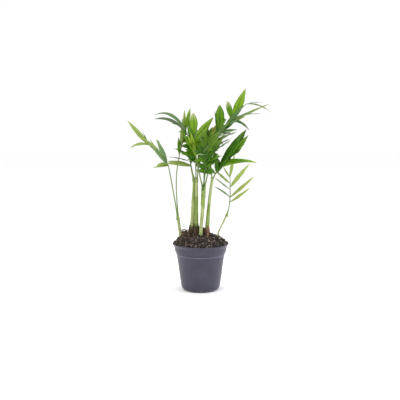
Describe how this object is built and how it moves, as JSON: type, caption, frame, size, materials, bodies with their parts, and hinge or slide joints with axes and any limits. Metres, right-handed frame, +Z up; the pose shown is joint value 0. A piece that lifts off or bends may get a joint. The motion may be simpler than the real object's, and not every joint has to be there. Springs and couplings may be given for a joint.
{
  "type": "potted parlour palm",
  "caption": "Young parlour palm with slender cane stems and pinnate fronds, growing in soil in a round tapered nursery pot.",
  "frame": {"origin": "centre of the pot's flat underside, on the surface that it stands on", "axes": "+Z up along the plant, +X to the right and +Y to the back as the plant is seen from its front"},
  "size_m": [0.2968, 0.1821, 0.4257],
  "materials": {
    "pot": "satin",
    "soil": "matte",
    "stems": "satin",
    "husks": "matte",
    "stalks": "satin",
    "fronds": "satin"
  },
  "bodies": {
    "root": {"pot": "pot", "soil": "soil", "stem_left": "stems", "stem_twin_left": "stems", "stem_twin_right": "stems", "stem_centre": "stems", "stem_right_centre": "stems", "stem_right": "stems", "husk_twin_left": "husks", "husk_twin_right": "husks", "husk_right_centre": "husks", "stub_centre": "husks", "stalk_left": "stalks", "stalk_left_back": "stalks", "stalk_arch": "stalks", "stalk_centre": "stalks", "stalk_top": "stalks", "stalk_front": "stalks", "stalk_back_right": "stalks", "stalk_back_left": "stalks", "stalk_back": "stalks", "frond_left": "fronds", "frond_left_back": "fronds", "frond_low_left": "fronds", "frond_arch": "fronds", "frond_centre": "fronds", "frond_top": "fronds", "frond_right": "fronds", "frond_front": "fronds", "frond_back_right": "fronds", "frond_back_left": "fronds", "frond_back": "fronds", "frond_right_front": "fronds"}
  },
  "joints": []
}
